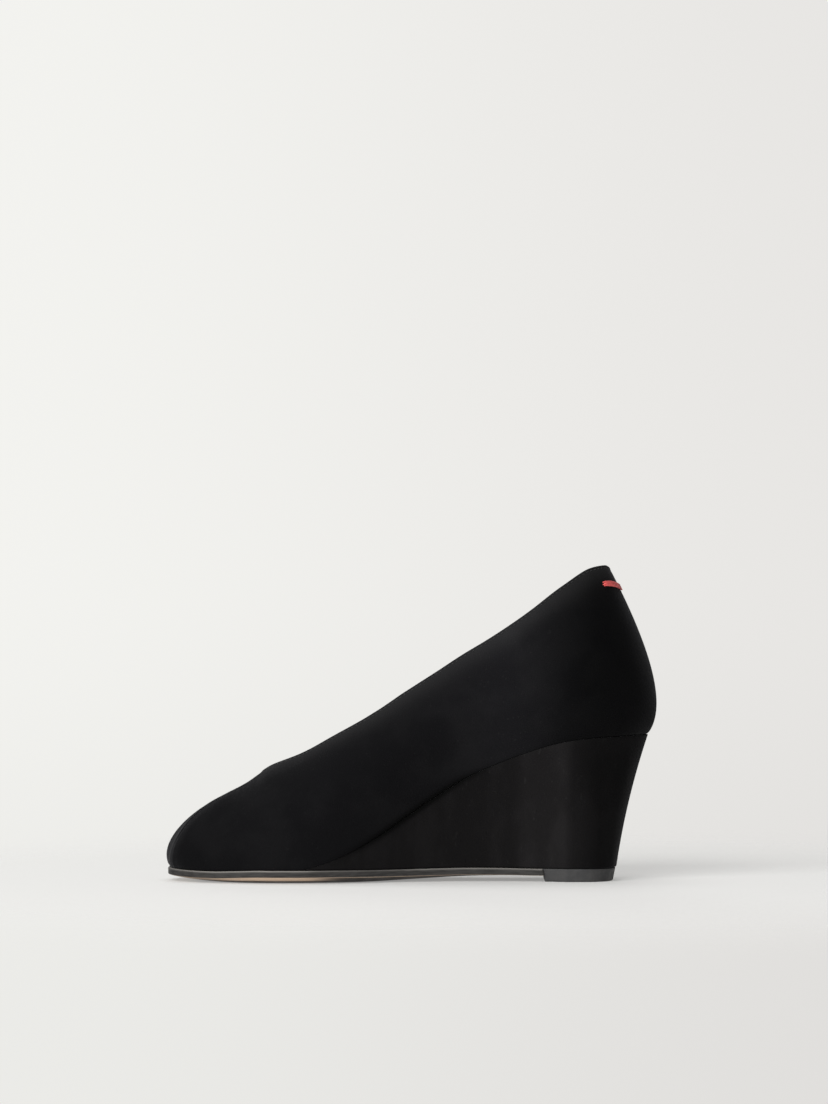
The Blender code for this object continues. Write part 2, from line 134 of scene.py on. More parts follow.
# Heights of the bottom along the shoe, as shares of the sizes that they are named for
levels = table("along seat waist spring camber cup", [
    (0.0000, 1.000, 1.00, 0.00, 0.00, 0.00),
    (0.0167, 1.000, 1.00, 0.00, 0.00, 0.00),
    (0.0420, 0.996, 1.00, 0.00, 0.00, 0.60),
    (0.0700, 0.991, 1.00, 0.00, 0.00, 1.00),
    (0.1170, 0.982, 1.00, 0.00, 0.00, 1.00),
    (0.1980, 0.943, 1.00, 0.00, 0.00, 1.00),
    (0.2370, 0.904, 1.00, 0.00, 0.00, 0.95),
    (0.3180, 0.792, 0.98, 0.00, 0.12, 0.80),
    (0.3780, 0.692, 0.88, 0.00, 0.25, 0.60),
    (0.4380, 0.561, 0.66, 0.00, 0.40, 0.40),
    (0.5000, 0.410, 0.38, 0.00, 0.60, 0.20),
    (0.5600, 0.258, 0.15, 0.00, 0.80, 0.10),
    (0.6200, 0.129, 0.03, 0.00, 0.95, 0.00),
    (0.6600, 0.066, 0.00, 0.00, 1.00, 0.00),
    (0.7050, 0.014, 0.00, 0.00, 1.00, 0.00),
    (0.7400, 0.000, 0.00, 0.00, 1.00, 0.00),
    (0.8000, 0.000, 0.00, 0.00, 1.00, 0.00),
    (0.8500, 0.000, 0.00, 0.03, 0.85, 0.00),
    (0.9000, 0.000, 0.00, 0.20, 0.56, 0.00),
    (0.9500, 0.000, 0.00, 0.58, 0.24, 0.00),
    (0.9900, 0.000, 0.00, 1.00, 0.00, 0.00),
])


# Cubic through all rows; slope from the two neighbouring chords, none where a value turns back
def smoothRows(knots, values, at):
    steps = np.diff(knots)
    chords = np.diff(values, axis=0) / steps[:, None]
    slopes = np.vstack([chords[:1], np.zeros_like(values[1:-1]), chords[-1:]])
    before, after = steps[:-1, None], steps[1:, None]
    slopes[1:-1] = (chords[:-1] * after + chords[1:] * before) / (before + after)
    slopes[1:-1] *= chords[:-1] * chords[1:] > 0
    row = np.clip(np.searchsorted(knots, at, side="right") - 1, 0, len(steps) - 1)
    t = ((at - knots[row]) / steps[row])[:, None]
    lean = slopes[row] * t * (1 - t) ** 2 - slopes[row + 1] * t * t * (1 - t)
    rise = (values[row + 1] - values[row]) * eased(t)
    return values[row] + rise + steps[row][:, None] * lean


def level(name, along):
    at = np.clip(np.ravel(along), levels["along"][0], levels["along"][-1])
    return smoothRows(levels["along"], levels[name][:, None], at)[:, 0].reshape(np.shape(along))


def camberShare(across):  # square of the way from the flat middle to the edge
    past = np.clip((np.abs(across) - shoe["flatShare"]) / (1 - shoe["flatShare"]), 0, None)
    return past ** 2


def soleTop(along, across):  # sole thickness, raised to the top piece, sprung and cambered
    step = shoe["topPieceHeight"] - shoe["soleThickness"]
    middle = shoe["soleThickness"] + step * level("waist", along)
    sprung = middle + shoe["toeSpring"] * level("spring", along)
    return sprung + shoe["soleCamber"] * level("camber", along) * camberShare(across)


def soleBottom(along, across):
    return soleTop(along, across) - shoe["soleThickness"]


def lastBottom(along, across):  # the sole's top plus the climb to the heel seat, less its cup
    climb = (shoe["heelHeight"] - shoe["topPieceHeight"] - shoe["gap"]) * level("seat", along)
    cup = shoe["seatCup"] * level("cup", along) * (1 - camberShare(across))
    return soleTop(along, across) + shoe["gap"] + climb - cup


# Points of an outline at the stations, in plan, with one row beyond each end
def stationRows(kind, side):
    names = {"foot": ("along", side), "tread": ("treadAlong", "tread" + side.capitalize())}
    alongName, acrossName = names[kind]
    lead = outlines["lead"] if side == "lateral" else 0
    along = (outlines[alongName] + lead) * shoe["length"]
    return np.column_stack([along, signs[side] * outlines[acrossName] * shoe["ballWidth"]])


def withNeighbours(rows, other):
    return np.vstack([other[1], rows, other[-2]])


def otherSide(side):
    return "lateral" if side == "medial" else "medial"


# Distance round the foot of the upper to each station, the mean of both sides
footRows = {side: stationRows("foot", side) for side in sides}
footSteps = sum(np.linalg.norm(np.diff(rows, axis=0), axis=1) for rows in footRows.values()) / 2
knots = np.concatenate([[0], np.cumsum(footSteps)])
longKnots = np.concatenate([[-footSteps[0]], knots, [knots[-1] + footSteps[-1]]])
roundLength = knots[-1]
throatAt = knots[shoe["throat"]]


def outlineAt(kind, side, s):
    full = withNeighbours(stationRows(kind, side), stationRows(kind, otherSide(side)))
    return smoothRows(longKnots, full, s)


def outwards(runs, side):  # unit normals of level runs along a side
    return unit(np.column_stack([-runs[:, 1], runs[:, 0]]) * signs[side])


def planNormals(kind, side, s):
    before, after = (outlineAt(kind, side, s + step) for step in (-nudge["plan"], nudge["plan"]))
    return outwards(after - before, side)


# The four control points of the wall's curve at each station, heights above its foot
def wallControls(side):
    full = withNeighbours(footRows[side], footRows[otherSide(side)])
    normal = outwards(full[2:] - full[:-2], side)
    height = walls["height"] * shoe["upperHeight"]
    if side == "lateral":
        height = height - walls["low"] * shoe["lateralDrop"]
    flare = walls["flare" + side.capitalize()] * shoe["ballWidth"]
    crown = walls["crown" + side.capitalize()] * shoe["ballWidth"]
    across = signs[side] * walls[side] * shoe["ballWidth"]
    foot = np.column_stack([footRows[side], 0 * height])
    top = np.column_stack([walls["along"] * shoe["length"], across, height])
    first = foot + np.column_stack([normal * flare[:, None], walls["rise"] * height])
    fall = walls["drop"] * height + walls["slope"] * crown * normal[:, 0]
    last = top + np.column_stack([normal * crown[:, None], -fall])
    return foot, first, last, top


controls = {side: wallControls(side) for side in sides}
treadBack = outlines["treadAlong"][0] * shoe["length"] + shoe["topPieceInset"]
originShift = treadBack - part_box("top_piece")[0][0]  # the frame's origin is under the heel


# Points of the upper: s is the way round its foot, v the share of the way up the wall.
# Each column is the cubic Bezier curve from foot to top, and its four control points are
# cubics along s, broken at the throat for the upper two.
def wallPoints(side, s, v):
    own, opposite = controls[side], controls[otherSide(side)]
    rows = [withNeighbours(a, b) for a, b in zip(own, opposite)]
    corner = shoe["throat"] + 1
    behind = s <= longKnots[corner]
    points = [smoothRows(longKnots, row, s) for row in rows[:2]]
    for row in rows[2:]:
        back = smoothRows(longKnots[:corner + 1], row[:corner + 1], s)
        front = smoothRows(longKnots[corner:], row[corner:], s)
        points.append(np.where(behind[:, None], back, front))
    medialFoot = outlineAt("foot", "medial", s)[:, 0]
    bases = (points[0][:, 0], points[0][:, 0], medialFoot, medialFoot)
    for point, base in zip(points, bases):
        point[:, 2] += lastBottom(base / shoe["length"], np.ones(len(s)))
        point[:, 0] -= originShift
    foot, first, last, top = (point[:, None, :] for point in points)
    t = v[:, :, None]
    rising = foot * (1 - t) ** 3 + first * 3 * t * (1 - t) ** 2
    return rising + last * 3 * t ** 2 * (1 - t) + top * t ** 3


# Outward unit normals of the upper, from points a little to each side
def wallNormals(side, s, v):
    ds, dv = nudge["round"], nudge["up"]
    alongS = wallPoints(side, s + ds, v) - wallPoints(side, s - ds, v)
    upV = wallPoints(side, s, v + dv) - wallPoints(side, s, v - dv)
    return unit(np.cross(upV, alongS) * signs[side])


def addObject(name, data):
    added = bpy.data.objects.new(name, data)
    bpy.context.scene.collection.objects.link(added)
    return added


meshing = {"weld": 4e-6, "least": 1e-6, "sharp": 50}  # metres, metres and degrees


def weld(bm):  # corners at one place joined, faces turned outwards
    bmesh.ops.remove_doubles(bm, verts=bm.verts, dist=meshing["weld"])
    bmesh.ops.dissolve_degenerate(bm, edges=bm.edges, dist=meshing["least"])
    bmesh.ops.recalc_face_normals(bm, faces=bm.faces)
    if bm.calc_volume(signed=True) < 0:
        bmesh.ops.reverse_faces(bm, faces=bm.faces)


def closeEnds(bm):  # the open ends of tubes
    bmesh.ops.holes_fill(bm, edges=[edge for edge in bm.edges if edge.is_boundary], sides=12)
    bmesh.ops.recalc_face_normals(bm, faces=bm.faces)


# A visible piece; values are per corner, for its material
def finishMesh(name, verts, faces, material, values=None, repair=weld):
    mesh = bpy.data.meshes.new(name)
    mesh.from_pydata(verts, [], faces)
    for key, value in (values or {}).items():
        mesh.attributes.new(key, "FLOAT", "POINT").data.foreach_set("value", value)
    bm = bmesh.new()
    bm.from_mesh(mesh)
    repair(bm)
    bm.to_mesh(mesh)
    bm.free()
    mesh.shade_smooth()
    if repair == weld:
        mesh.set_sharp_from_angle(angle=math.radians(meshing["sharp"]))
    mesh.materials.append(material)
    piece = addObject(name, mesh)
    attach(piece, "root")
    return piece


# Quads of a grid, rows by columns, the last column joined to the first where it is a ring
def gridFaces(rows, columns, ring, first=0):
    index = np.arange(rows * columns).reshape(rows, columns) + first
    right = np.roll(index, -1, axis=1)
    quads = np.stack([index[:-1], right[:-1], right[1:], index[1:]], axis=2)
    return quads if ring else quads[:, :-1]


print("shoe functions ready")

# Materials: noise on Object coordinates, in turns a metre, behind one Principled shader each.
# A range gives the noise levels that become 0 and 1.
suedeLook = {
    "dark": (0.0087, 0.0085, 0.0097),
    "light": (0.0114, 0.0111, 0.0123),
    "lint": (0.024, 0.0235, 0.0235),
    "patch": 42,           # brushed patches
    "patchRange": (0.34, 0.68),
    "patchStretch": 1.0,   # below 1 the patches stand upright
    "nap": 2600,
    "napStretch": 0.45,
    "napHeight": 0.00022,
    "brushed": 0.35,       # share of a coarser nap in the tone
    "brushRange": (0.1, 1.2),
    "lintShare": 0.30,
    "lintRange": (0.77, 0.83),
    "strokes": 620,        # short upright marks in the nap, some pale and some deep
    "strokeStretch": 0.22,
    "marks": 0.12,
    "paleRange": (0.66, 0.74),
    "deepRange": (0.30, 0.22),
    "deep": (0.002, 0.002, 0.002),
    "paintedLightTone": (0.0125, 0.0124, 0.0124),     # painted light, added where "rim" is 1
    "shadeTone": (0.0006, 0.0006, 0.0006),    # where "shade" is 1
    "shadeMost": 0.9,
    "roughness": 0.92,
    "brushedRoughness": 0.82,
    "sheen": 0.08,
    "sheenRoughness": 0.38,
    "sheenTint": (0.80, 0.80, 0.84),
    "specular": 0.06,
    # painted shading along the shoe, lighter at the middle of the quarter and darker round the heel
    # where the suede turns from the light, together with the way the nap is brushed: level from the
    # heel, and share of the full tone there
    "paintedShading": ((-0.035, 0.24), (-0.012, 0.06), (0.010, 0.36), (0.030, 1.0), (0.046, 0.90),
              (0.075, 0.42), (0.120, 0.50), (0.160, 0.46), (0.195, 0.40)),
}
# The wedge's painted shading: a lit band on its side before the back corner, darker round the back.
coverLook = dict(suedeLook, dark=(0.0099, 0.0092, 0.0095), light=(0.0126, 0.0117, 0.0121),
                 patch=85, marks=0.35, patchStretch=0.45,
                 paintedShading=((-0.030, 0.30), (-0.010, 0.20), (0.003, 0.52), (0.009, 1.18),
                        (0.024, 1.10), (0.032, 0.62), (0.060, 0.55), (0.110, 0.58)))
liningLook = {
    "dark": (0.015, 0.014, 0.0135), "light": (0.026, 0.0245, 0.023), "patch": 38,
    "roughness": (0.42, 0.58), "grain": 1100, "fine": 2600, "grainHeight": 0.00010,
}
leatherLook = {
    "tan": ((0.58, 0.43, 0.315), (0.72, 0.56, 0.42)), "patch": 24,
    "scuff": (0.40, 0.29, 0.21), "scuffScale": 300, "scuffShare": 0.25,
    # dark colour of the bare face, and of the painted contact shadow
    "stainAndShadow": (0.020, 0.018, 0.017),
    "paint": ((0.026, 0.025, 0.024), (0.046, 0.044, 0.042)), "paintScale": 420,
    "wornAndLit": (0.245, 0.232, 0.215),      # the rim: wear and a painted highlight
    "roughness": (0.40, 0.55), "grain": 1700, "fine": 3000, "grainHeight": 0.00006,
    "specular": 0.12,
    # level from the heel, and how far the bare face is darkened there (a black waist, and darker
    # towards the toe), or how far the rim is lighter with wear and a painted highlight
    "darkened": ((0.108, 1.0), (0.118, 0.9), (0.128, 0.0), (0.166, 0.0), (0.178, 0.6)),
    "wearAndHighlight": ((0.075, 0.75), (0.085, 0.3), (0.122, 0.3), (0.130, 1.0), (0.178, 1.0),
             (0.188, 0.6)),
}
rubberLook = {
    "dark": (0.030, 0.030, 0.031), "light": (0.043, 0.042, 0.042), "patch": 160,
    "roughness": (0.55, 0.72), "grain": 2400, "grainHeight": 0.00008,
    # painted shade: darker towards the back of the top piece, where it turns from the light
    "paintedShading": ((-0.018, 0.55), (-0.006, 0.82), (0.006, 1.0), (0.018, 1.0)),
}
threadLook = {"roughness": 0.6, "strands": 5200, "stretch": 0.3, "height": 0.00008, "sheen": 0.2}


class Shading:  # short ways to add and join the nodes of a material or of the world
    def __init__(self, tree):
        self.nodes, self.links = tree.nodes, tree.links

    def feed(self, node, inputs):  # each input is given a value, or joined to an output
        for key, value in inputs.items():
            socket = node.inputs[key]
            if isinstance(value, bpy.types.NodeSocket):
                self.links.new(value, socket)
            else:
                socket.default_value = (*value, 1) if socket.type == "RGBA" else value
        return node

    def add(self, kind, inputs):
        return self.feed(self.nodes.new("ShaderNode" + kind), inputs)

    def limits(self, value, low, high, to=(0.0, 1.0), kind="SMOOTHSTEP"):  # low..high to a range
        node = self.nodes.new("ShaderNodeMapRange")
        node.interpolation_type = kind
        numbers = {"From Min": low, "From Max": high, "To Min": to[0], "To Max": to[1]}
        return self.feed(node, {"Value": value, **numbers}).outputs["Result"]

    def mix(self, share, first, second, how="MIX"):  # two colours
        node = self.nodes.new("ShaderNodeMix")
        node.data_type, node.blend_type = "RGBA", how
        return self.feed(node, {0: share, 6: first, 7: second}).outputs[2]

    def times(self, first, second):
        return self.mix(1, first, second, "MULTIPLY")


class Finish(Shading):  # a material
    def __init__(self, name, colour, roughness):
        self.material = bpy.data.materials.new(name)
        self.material.use_nodes = True
        super().__init__(self.material.node_tree)
        self.shader = self.nodes["Principled BSDF"]
        self.set({"Base Color": colour, "Roughness": roughness})
        self.place = self.nodes.new("ShaderNodeTexCoord").outputs["Object"]

    def set(self, inputs):
        self.feed(self.shader, inputs)

    def noise(self, scale, detail=2.0, stretch=None):
        place = self.place
        if stretch:
            place = self.add("Mapping", {"Scale": stretch, "Vector": place}).outputs["Vector"]
        inputs = {"Scale": scale, "Detail": detail, "Vector": place}
        return self.add("TexNoise", inputs).outputs["Fac"]

    def evenly(self, scale, detail, to=(0.0, 1.0)):  # noise over its middle levels, to a range
        return self.limits(self.noise(scale, detail), 0.3, 0.7, to)

    def cells(self, scale):
        node = self.nodes.new("ShaderNodeTexVoronoi")
        node.feature = "DISTANCE_TO_EDGE"
        return self.feed(node, {"Scale": scale, "Vector": self.place}).outputs["Distance"]

    def attribute(self, name):
        node = self.nodes.new("ShaderNodeAttribute")
        node.attribute_name = name
        return node.outputs["Fac"]

    def plus(self, first, second, share):  # first plus share of the second
        node = self.nodes.new("ShaderNodeMath")
        node.operation = "MULTIPLY_ADD"
        return self.feed(node, {0: second, 1: share, 2: first}).outputs[0]

    def along(self, stops):  # greys at some distances along X, smooth between them
        first, last = stops[0][0], stops[-1][0]
        level = self.add("SeparateXYZ", {0: self.place}).outputs["X"]
        share = self.limits(level, first, last, kind="LINEAR")
        node = self.add("ValToRGB", {0: share})
        ramp = node.color_ramp
        ramp.interpolation = "B_SPLINE"
        while len(ramp.elements) < len(stops):
            ramp.elements.new(0.5)
        for element, (place, grey) in zip(ramp.elements, stops):
            element.position = (place - first) / (last - first)
            element.color = (grey, grey, grey, 1)
        return node.outputs["Color"]

    def bump(self, height, distance, strength):
        inputs = {"Distance": distance, "Strength": strength, "Height": height}
        self.set({"Normal": self.add("Bump", inputs).outputs["Normal"]})


def makeSuede(name, look):
    finish = Finish(name, look["dark"], look["roughness"])
    patches = finish.noise(look["patch"], 4, (1, 1, look["patchStretch"]))
    patches = finish.limits(patches, *look["patchRange"])
    nap = finish.noise(look["nap"], 3, (1, 1, look["napStretch"]))
    brushed = finish.plus(patches, finish.noise(look["nap"] / 4, 2), look["brushed"])
    colour = finish.mix(finish.limits(brushed, *look["brushRange"]), look["dark"], look["light"])
    specks = finish.noise(look["nap"] / 3, 0)
    strokes = finish.noise(look["strokes"], 2, (1, 1, look["strokeStretch"]))
    for source, name, share, tone in ((specks, "lintRange", "lintShare", "lint"),
                                      (strokes, "paleRange", "marks", "lint"),
                                      (strokes, "deepRange", "marks", "deep")):
        there = finish.limits(source, *look[name], (0, look[share]))
        colour = finish.mix(there, colour, look[tone])
    # painted shading along the shoe
    colour = finish.times(colour, finish.along(look["paintedShading"]))
    # painted light where "rim" is 1, painted shade where "shade" is 1
    rim = finish.mix(finish.attribute("rim"), (0, 0, 0), look["paintedLightTone"])
    shade = finish.limits(finish.attribute("shade"), 0, 1, (0, look["shadeMost"]))
    colour = finish.mix(shade, finish.mix(1, colour, rim, "ADD"), look["shadeTone"])
    roughness = finish.limits(patches, 0, 1, (look["roughness"], look["brushedRoughness"]))
    finish.bump(finish.plus(nap, patches, 0.25), look["napHeight"], 0.7)
    finish.set({"Base Color": colour, "Roughness": roughness,
                "Sheen Weight": look["sheen"], "Sheen Roughness": look["sheenRoughness"],
                "Sheen Tint": look["sheenTint"], "Specular IOR Level": look["specular"]})
    return finish.material


def makeLining(look):  # dark, plain, smooth leather
    finish = Finish("lining leather", (0.020, 0.019, 0.018), 0.48)
    colour = finish.mix(finish.evenly(look["patch"], 4), look["dark"], look["light"])
    finish.set({"Base Color": colour, "Roughness": finish.evenly(220, 3, look["roughness"])})
    grain = finish.plus(finish.cells(look["grain"]), finish.noise(look["fine"], 2), 0.3)
    finish.bump(grain, look["grainHeight"], 0.5)
    return finish.material


def makeSoleLeather(look):  # tan grain underneath, painted edge where "paint" is 1
    finish = Finish("sole leather", (0.40, 0.29, 0.20), 0.5)
    tone = finish.limits(finish.noise(look["patch"], 5, (1, 2.2, 1)), 0.28, 0.72)
    scuffs = finish.noise(look["scuffScale"], 4, (0.25, 1.6, 1))
    scuffs = finish.limits(scuffs, 0.60, 0.72, (0, look["scuffShare"]))
    tan = finish.mix(scuffs, finish.mix(tone, *look["tan"]), look["scuff"])
    bare = finish.times(finish.along(look["darkened"]), finish.attribute("under"))
    # the darkened bare face, then painted contact shadow near the floor
    for darkened in (bare, finish.attribute("contactShadow")):
        tan = finish.mix(darkened, tan, look["stainAndShadow"])
    edge = finish.limits(finish.noise(look["paintScale"], 3, (0.3, 1, 3)), 0.3, 0.7)
    # the rim lighter with wear and a painted highlight
    rim = finish.times(finish.along(look["wearAndHighlight"]), finish.attribute("rim"))
    painted = finish.mix(rim, finish.mix(edge, *look["paint"]), look["wornAndLit"])
    finish.set({"Base Color": finish.mix(finish.attribute("paint"), tan, painted),
                "Roughness": finish.evenly(150, 3, look["roughness"]),
                "Specular IOR Level": look["specular"]})
    grain = finish.plus(finish.cells(look["grain"]), finish.noise(look["fine"], 2), 0.4)
    finish.bump(grain, look["grainHeight"], 0.4)
    return finish.material


def makeRubber(look):
    finish = Finish("top piece rubber", (0.05, 0.05, 0.05), 0.62)
    grey = finish.mix(finish.evenly(look["patch"], 4), look["dark"], look["light"])
    finish.set({"Base Color": finish.times(grey, finish.along(look["paintedShading"])),
                "Roughness": finish.evenly(500, 2, look["roughness"])})
    finish.bump(finish.noise(look["grain"], 3), look["grainHeight"], 0.5)
    return finish.material


def makeThread(name, dark, light):
    finish = Finish(name, dark, threadLook["roughness"])
    strands = finish.noise(threadLook["strands"], 2, (1, 1, threadLook["stretch"]))
    finish.set({"Base Color": finish.mix(finish.limits(strands, 0.3, 0.7), dark, light),
                "Sheen Weight": threadLook["sheen"]})
    finish.bump(strands, threadLook["height"], 0.6)
    return finish.material


suede = makeSuede("black suede", suedeLook)
coverSuede = makeSuede("wedge suede", coverLook)
liningLeather = makeLining(liningLook)
soleLeather = makeSoleLeather(leatherLook)
rubber = makeRubber(rubberLook)
blackThread = makeThread("black thread", (0.005, 0.005, 0.006), (0.014, 0.014, 0.015))
redThread = makeThread("red thread", (0.58, 0.050, 0.050), (0.88, 0.125, 0.115))
print("materials ready")

upperLook = {
    "suede": 0.0010,          # thickness, folded in at the topline
    "lining": 0.0006,
    "liningDrop": 0.0012,     # below the topline
    "rollEnd": 0.005,         # the fold thins out this far before the throat
    "seamDepth": 0.00095, "seamWidth": 0.00055,
    "seamDrift": 0.0040, "driftFrom": 0.168, "driftRun": 0.026,     # to the inner side
    "puff": 0.00018, "puffAt": 0.0022, "puffWidth": 0.0013,         # ridge beside the seam
    # painted shade in the toe seam and along the drawn-in foot, painted light on the lobe past the
    # seam
    "seamShade": 0.00110,
    "lobeAt": 0.0036, "lobeWidth": 0.0030, "lobeFrom": 0.176, "lobeRun": 0.012,
    "footShade": 1.0, "shadeWidth": 0.0030, "shadeSpare": 0.014,
    "backDepth": 0.00035, "backWidth": 0.00050,                     # back seam
    "paintedLightWidth": 0.0075,                                            # painted light along the topline
    "tuck": 0.00040, "tuckWidth": 0.0008,                           # in at the foot
    "reachDown": 0.00027, "reachWidth": 0.0007,
    "undercut": 0.0006, "undercutWidth": 0.0032, "undercutFrom": 0.050, "undercutTo": 0.108,
    "stitchDrop": 0.0016, "stitchGroove": 0.00014, "stitchWidth": 0.00045,
    "fold": 0.00012, "foldAt": 0.0005, "foldWidth": 0.0007,         # ridge of the turned edge
    "seamClear": 0.003,                                             # both end at the seam
    "liningGap": 0.00003,
}

# Soft creases: two ends as level and height in metres, depth (below 0 for a ridge) and half width
creases = {
    "medial": [
        ((0.040, 0.089), (0.012, 0.113), 0.00045, 0.0080),
        ((0.060, 0.062), (0.085, 0.050), 0.00060, 0.0060),
        ((0.150, 0.022), (0.128, 0.040), 0.00030, 0.0060),
        ((0.030, 0.084), (0.052, 0.078), -0.00045, 0.0070),
    ],
    "lateral": [
        ((0.046, 0.086), (0.018, 0.108), 0.00045, 0.0080),
        ((0.066, 0.060), (0.092, 0.046), 0.00060, 0.0060),
        ((0.148, 0.020), (0.130, 0.038), 0.00030, 0.0060),
    ],
}


# Distance of each point to a line of points: the least distance to any of its runs
def distanceTo(points, line):
    nearest = np.full(points.shape[:-1], np.inf)
    for start, end in zip(line, line[1:]):
        run = end - start
        share = np.clip((points - start) @ run / max(run @ run, 1e-12), 0, 1)
        gap = np.linalg.norm(points - start - share[..., None] * run, axis=-1)
        nearest = np.minimum(nearest, gap)
    return nearest


def bell(distance, width):  # 1 on the line, falling off as a Gaussian
    return np.exp(-(distance / width) ** 2)


def zones(*parts):  # runs of evenly spaced values, each (end, cells), starting from 0
    values, start = [np.zeros(1)], 0
    for end, cells in parts:
        values.append(np.linspace(start, end, cells + 1)[1:])
        start = end
    return np.concatenate(values)


columns = zones((0.006, 15), (throatAt, 150), (roundLength - 0.007, 52), (roundLength, 20))
throatColumn = int(np.argmin(np.abs(columns - throatAt)))
rows = zones((0.05, 9), (0.92, 38), (1.0, 20))


def topStretch(side, s):  # metres up the wall for a whole turn of v, at the top
    one, step = np.ones((len(s), 1)), 0.01
    reach = wallPoints(side, s, one) - wallPoints(side, s, one - step)
    return np.linalg.norm(reach, axis=2)[:, 0] / step


# v of every row where the wall stops some distance below the topline, and at it on the seam
def rowsBelow(side, drop):
    fade = eased(np.clip((throatAt - columns) / upperLook["rollEnd"], 0, 1))
    top = 1 - drop * fade / topStretch(side, columns)
    return rows[None, :] * top[:, None], fade


# Normals of both sides, made the same where the two sides meet. The seam turns down at the last
# column's top: the wall has no normal of its own there, and takes the next one below.
def bothNormals(vOf):
    normals = {side: wallNormals(side, columns, vOf[side]) for side in vOf}
    for normal in normals.values():
        normal[-1, -1] = normal[-1, -2]
    joined = unit(normals["medial"] + normals["lateral"])
    for normal in normals.values():
        for part in ((0, slice(None)), (-1, slice(None)), (slice(throatColumn, None), -1)):
            normal[part] = joined[part]
    return normals


lengthOn = np.linspace(throatAt, roundLength, 90)
frontSeam = np.vstack([
    wallPoints("medial", lengthOn, np.ones((90, 1)))[:, 0],
    wallPoints("medial", np.array([roundLength]), np.linspace(1, 0, 60)[None, :])[0],
])
# At the toe the seam runs a little to the medial side
drift = np.clip((frontSeam[:, 0] - upperLook["driftFrom"]) / upperLook["driftRun"], 0, 1)
frontSeam[:, 1] += upperLook["seamDrift"] * drift ** 2
backSeam = wallPoints("medial", np.array([0.0]), np.linspace(0, 1, 60)[None, :])[0]


def topline(side):
    s = columns[:throatColumn + 1:3]
    return wallPoints(side, s, np.ones((len(s), 1)))[:, 0]


# Height of the suede's surface over the plain wall: a groove with a soft ridge at each side on
# the centre seam, a fine groove on the back seam, in at the foot, and the row of stitches
def relief(side, points):
    look = upperLook
    seam = distanceTo(points, frontSeam)
    raised = look["puff"] * bell(seam - look["puffAt"], look["puffWidth"])
    raised -= look["seamDepth"] * bell(seam, look["seamWidth"])
    raised -= look["backDepth"] * bell(distanceTo(points, backSeam), look["backWidth"])
    foot = np.linalg.norm(points - points[:, :1], axis=2)
    raised -= look["tuck"] * bell(foot, look["tuckWidth"])
    raised -= look["undercut"] * bell(foot, look["undercutWidth"]) * drawnIn(points[..., 0])
    edge = distanceTo(points, topline(side))
    onBand = bell(edge - look["stitchDrop"], look["stitchWidth"])
    away = 1 - bell(seam, look["seamClear"])
    raised -= look["stitchGroove"] * onBand * away
    raised += look["fold"] * bell(edge - look["foldAt"], look["foldWidth"]) * away
    for start, end, depth, width in creases[side]:
        line = np.array([start, end])
        raised -= depth * bell(distanceTo(points[..., [0, 2]], line), width)
    return raised


# Where along the shoe the upper is drawn in over the wedge: 1 in the middle, 0 at both ends
def drawnIn(along, spare=0):
    middle = (upperLook["undercutFrom"] + upperLook["undercutTo"]) / 2
    reach = (upperLook["undercutTo"] - upperLook["undercutFrom"]) / 2 + spare
    return np.clip(1 - ((along - middle) / reach) ** 2, 0, 1)


# Painted light: along the topline, and on the lobe past the toe's centre seam. Painted shade: in
# that seam, and along the foot where the upper is drawn in.
def paintedLighting(side, points):
    look = upperLook
    seam = distanceTo(points, frontSeam)
    toe = np.clip((points[..., 0] - look["lobeFrom"]) / look["lobeRun"], 0, 1)
    low = np.argsort(frontSeam[:, 2])
    past = points[..., 1] < np.interp(points[..., 2], frontSeam[low, 2], frontSeam[low, 1])
    lobe = bell(seam - look["lobeAt"], look["lobeWidth"]) * past * toe
    light = bell(distanceTo(points, topline(side)), look["paintedLightWidth"]) + lobe
    foot = np.linalg.norm(points - points[:, :1], axis=2)
    under = look["footShade"] * drawnIn(points[..., 0], look["shadeSpare"])
    dark = bell(seam, look["seamShade"]) * toe + under * bell(foot, look["shadeWidth"])
    return np.clip(light * (1 - dark), 0, 1), np.clip(dark, 0, 1)


# A wall with an outer and an inner face, both sides of the shoe: each column goes from foot to
# top outside, over the rim and down inside; past the throat the two sides join on the seam
def wallPiece(name, outer, rim, inner, material, values=None):
    verts, faces, first = [], [], 0
    painted = {key: [] for key in values or {}}
    for side in sides:
        ring = np.concatenate([outer[side], rim[side], inner[side][:, ::-1]], axis=1)
        count, around = ring.shape[:2]
        quads = gridFaces(count, around, True, first)
        rimFirst = outer[side].shape[1] - 1
        rimLast = rimFirst + rim[side].shape[1] + 1
        keep = np.ones(quads.shape[:2], bool)
        keep[throatColumn:, rimFirst:rimLast] = False
        quads = quads[keep]
        faces.append(quads if side == "medial" else quads[:, ::-1])
        verts.append(ring.reshape(-1, 3))
        first += count * around
        for key, part in painted.items():  # from the topline on it stays as it is there
            seen = values[key][side]
            rest = np.repeat(seen[:, -1:], around - seen.shape[1], 1)
            part.append(np.hstack([seen, rest]).ravel())
    verts, faces = np.vstack(verts), np.vstack(faces)
    used, numbers = np.unique(faces, return_inverse=True)
    painted = {key: np.concatenate(part)[used] for key, part in painted.items()}
    faces = numbers.reshape(faces.shape).tolist()
    return finishMesh(name, verts[used], faces, material, painted)


